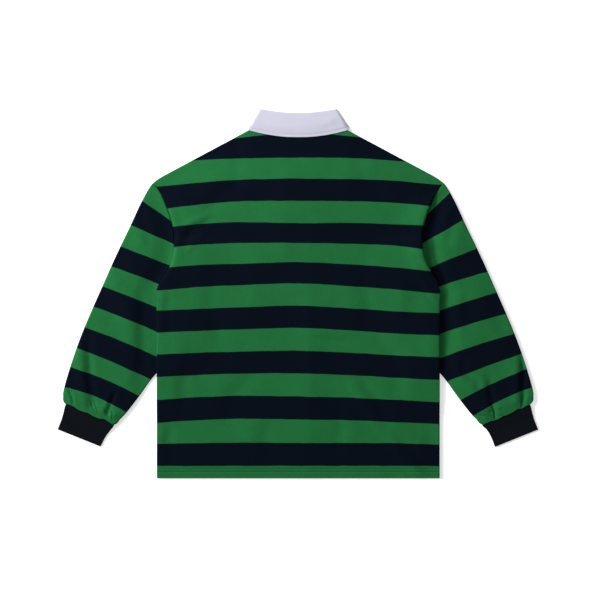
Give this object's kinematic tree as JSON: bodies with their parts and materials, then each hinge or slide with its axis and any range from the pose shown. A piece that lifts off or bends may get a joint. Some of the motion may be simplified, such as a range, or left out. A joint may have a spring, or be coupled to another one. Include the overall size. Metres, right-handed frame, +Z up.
{
  "type": "polo shirt",
  "caption": "Long-sleeved striped polo shirt laid out flat with its back up, with a folded collar, a buttoned placket and ribbed cuffs gathered onto full sleeves.",
  "frame": {"origin": "on the surface that the shirt lies on, under the middle of its length and width", "axes": "+X across the shirt from its left cuff to its right cuff, +Y from the hem towards the collar, +Z up out of the back panel"},
  "size_m": [0.9838, 0.7561, 0.0083],
  "materials": {
    "striped_jersey": "matte knit, green with navy stripes",
    "rib_knit": "matte rib knit",
    "collar_twill": "matte twill",
    "button_plastic": "satin"
  },
  "bodies": {
    "root": {"back": "striped_jersey", "front": "striped_jersey", "sleeve_left": "striped_jersey", "sleeve_right": "striped_jersey", "cuff_left": "rib_knit", "cuff_right": "rib_knit", "collar": "collar_twill", "placket_over": "collar_twill", "placket_under": "collar_twill", "button_top": "button_plastic", "button_middle": "button_plastic", "button_bottom": "button_plastic"}
  },
  "joints": []
}
